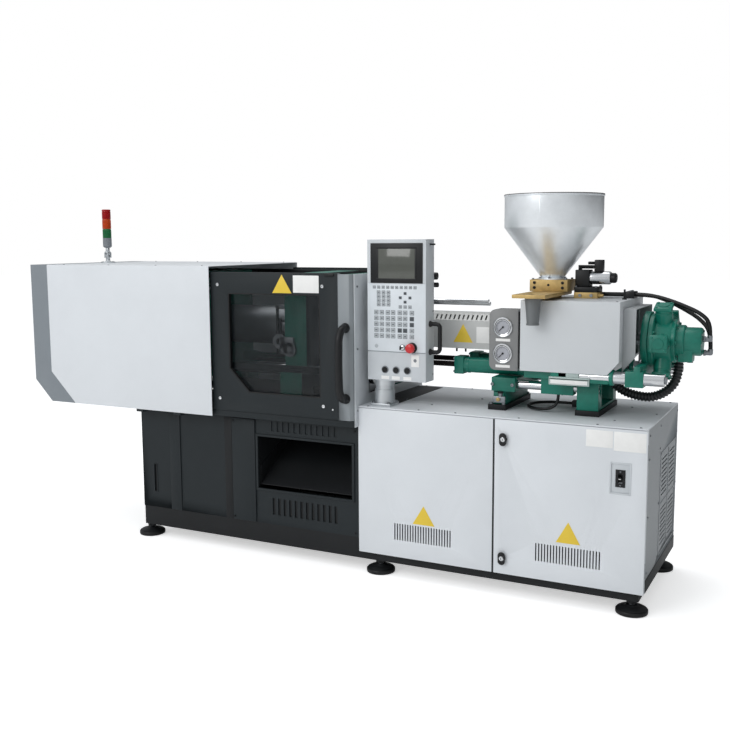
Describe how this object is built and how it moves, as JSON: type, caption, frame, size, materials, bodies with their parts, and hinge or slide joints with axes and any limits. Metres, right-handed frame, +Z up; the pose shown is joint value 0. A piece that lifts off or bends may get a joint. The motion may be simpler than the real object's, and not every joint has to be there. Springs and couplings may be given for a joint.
{
  "type": "injection moulding machine",
  "caption": "Horizontal injection moulding machine: covered clamp with sliding gates, steel hopper, green injection unit on a white cabinet.",
  "frame": {"origin": "on the floor, on the centreline of the clamp and barrel, half way along the machine", "axes": "+X from the clamp end to the injection end, +Y from the operator side to the rear, +Z up"},
  "size_m": [3.134, 0.8817, 1.588],
  "materials": {
    "white_paint": "fine powder coat",
    "grey_paint": "fine powder coat",
    "light_grey_paint": "fine powder coat",
    "charcoal_paint": "semi-matt",
    "black_paint": "semi-matt",
    "green_paint": "gloss enamel on a casting",
    "chrome": "polished",
    "steel": "brushed",
    "bare_steel": "ground",
    "gold": "satin",
    "black_plastic": "satin",
    "red_plastic": "gloss",
    "black_rubber": "matt",
    "clear": "clear sheet",
    "lamp": "translucent lenses"
  },
  "bodies": {
    "machine": {"bed_frame": "black_paint", "levelling_feet": "black_paint", "base_panels": "charcoal_paint", "cabinet_shell": "white_paint", "cabinet_top_plate": "white_paint", "cabinet_left_panel": "white_paint", "clamp_cover": "white_paint", "cover_end_cap": "grey_paint", "fixed_platen": "green_paint", "tail_platen": "green_paint", "tie_bars": "chrome", "clamp_cylinder": "green_paint", "gate_rails": "bare_steel", "nozzle_guard": "light_grey_paint", "pedestal": "steel", "carriage_supports": "green_paint", "carriage_rods": "chrome", "tower_base": "black_plastic", "sensor_cable": "black_rubber"},
    "clamp": {"moving_platen": "green_paint", "clamp_ram": "chrome"},
    "ejector": {"ejector_rod": "bare_steel"},
    "front_gate": {"front_gate_frame": "charcoal_paint", "front_gate_window": "clear", "front_gate_handle": "black_plastic"},
    "rear_gate": {"rear_gate_frame": "charcoal_paint", "rear_gate_window": "clear"},
    "panel": {"panel_housing": "light_grey_paint", "panel_fascia": "light_grey_paint", "panel_handle": "black_plastic"},
    "estop": {"estop_button": "red_plastic"},
    "left_button": {"push_button_left": "black_plastic"},
    "middle_button": {"push_button_middle": "black_plastic"},
    "right_button": {"push_button_right": "black_plastic"},
    "key": {"key_switch": "chrome"},
    "door": {"cabinet_door": "white_paint"},
    "upper_latch": {"latch_upper": "black_plastic"},
    "lower_latch": {"latch_lower": "black_plastic"},
    "toggle": {"breaker_toggle": "black_plastic"},
    "carriage": {"injection_housing": "green_paint", "seat_cylinders": "green_paint", "barrel": "bare_steel", "barrel_cover": "grey_paint", "gauge_panel": "grey_paint", "injection_cover": "white_paint", "inner_cover": "grey_paint", "slide_plate": "gold", "pressure_valve": "gold", "hose_upper": "black_rubber", "hose_lower": "black_rubber", "conduit": "black_plastic"},
    "upper_needle": {"needle_upper": "black_plastic"},
    "lower_needle": {"needle_lower": "black_plastic"},
    "feeder": {"feed_block": "gold", "hopper": "steel"},
    "lid": {"hopper_lid": "steel"},
    "thrust": {"thrust_plate": "green_paint", "hydraulic_motor": "green_paint"},
    "screw": {"screw": "bare_steel"},
    "tower": {"signal_tower": "lamp"}
  },
  "joints": [
    {"name": "clamp_slide", "type": "slide", "parent": "machine", "child": "clamp", "axis": [-1, 0, 0], "range_m": [0, 0.27]},
    {"name": "ejector_slide", "type": "slide", "parent": "clamp", "child": "ejector", "axis": [1, 0, 0], "range_m": [0, 0.07]},
    {"name": "front_gate_slide", "type": "slide", "parent": "machine", "child": "front_gate", "axis": [-1, 0, 0], "range_m": [0, 0.56]},
    {"name": "rear_gate_slide", "type": "slide", "parent": "machine", "child": "rear_gate", "axis": [-1, 0, 0], "range_m": [0, 0.56]},
    {"name": "panel_swivel", "type": "hinge", "parent": "machine", "child": "panel", "pos_m": [0.298, -0.247, 0.806], "axis": [0, 0, 1], "range_deg": [-90, 10]},
    {"name": "estop_press", "type": "slide", "parent": "panel", "child": "estop", "axis": [0, 1, 0], "range_m": [0, 0.004], "stiffness_N_per_m": 800},
    {"name": "left_button_press", "type": "slide", "parent": "panel", "child": "left_button", "axis": [0, 1, 0], "range_m": [0, 0.003], "stiffness_N_per_m": 500},
    {"name": "middle_button_press", "type": "slide", "parent": "panel", "child": "middle_button", "axis": [0, 1, 0], "range_m": [0, 0.003], "stiffness_N_per_m": 500},
    {"name": "right_button_press", "type": "slide", "parent": "panel", "child": "right_button", "axis": [0, 1, 0], "range_m": [0, 0.003], "stiffness_N_per_m": 500},
    {"name": "key_turn", "type": "hinge", "parent": "panel", "child": "key", "pos_m": [0.405, -0.3, 0.973], "axis": [0, 1, 0], "range_deg": [0, 90]},
    {"name": "door_hinge", "type": "hinge", "parent": "machine", "child": "door", "pos_m": [1.4, -0.325, 0.4], "axis": [0, 0, 1], "range_deg": [0, 110]},
    {"name": "upper_latch_turn", "type": "hinge", "parent": "door", "child": "upper_latch", "pos_m": [0.85, -0.325, 0.636], "axis": [0, 1, 0], "range_deg": [0, 90]},
    {"name": "lower_latch_turn", "type": "hinge", "parent": "door", "child": "lower_latch", "pos_m": [0.85, -0.325, 0.156], "axis": [0, 1, 0], "range_deg": [0, 90]},
    {"name": "breaker_toggle_turn", "type": "hinge", "parent": "door", "child": "toggle", "pos_m": [1.304, -0.316, 0.527], "axis": [1, 0, 0], "range_deg": [-30, 30]},
    {"name": "carriage_slide", "type": "slide", "parent": "machine", "child": "carriage", "axis": [-1, 0, 0], "range_m": [0, 0.1], "deforming": ["sensor_cable"]},
    {"name": "upper_needle_turn", "type": "hinge", "parent": "carriage", "child": "upper_needle", "pos_m": [0.805, -0.215, 1.064], "axis": [0, 1, 0], "range_deg": [0, 270], "stiffness_Nm_per_rad": 0.01},
    {"name": "lower_needle_turn", "type": "hinge", "parent": "carriage", "child": "lower_needle", "pos_m": [0.805, -0.215, 0.959], "axis": [0, 1, 0], "range_deg": [0, 270], "stiffness_Nm_per_rad": 0.01},
    {"name": "hopper_slide", "type": "slide", "parent": "carriage", "child": "feeder", "axis": [0, -1, 0], "range_m": [0, 0.262]},
    {"name": "lid_lift", "type": "slide", "parent": "feeder", "child": "lid", "axis": [0, 0, 1], "range_m": [0, 0.15]},
    {"name": "injection_slide", "type": "slide", "parent": "carriage", "child": "thrust", "axis": [1, 0, 0], "range_m": [0, 0.07], "deforming": ["hose_upper", "hose_lower", "conduit"]},
    {"name": "screw_spin", "type": "hinge", "parent": "thrust", "child": "screw", "pos_m": [1.3, 0, 1.015], "axis": [1, 0, 0], "continuous": true},
    {"name": "tower_tilt", "type": "hinge", "parent": "machine", "child": "tower", "pos_m": [-1.452, 0.046, 1.348], "axis": [0, 1, 0], "range_deg": [-85, 85]}
  ]
}
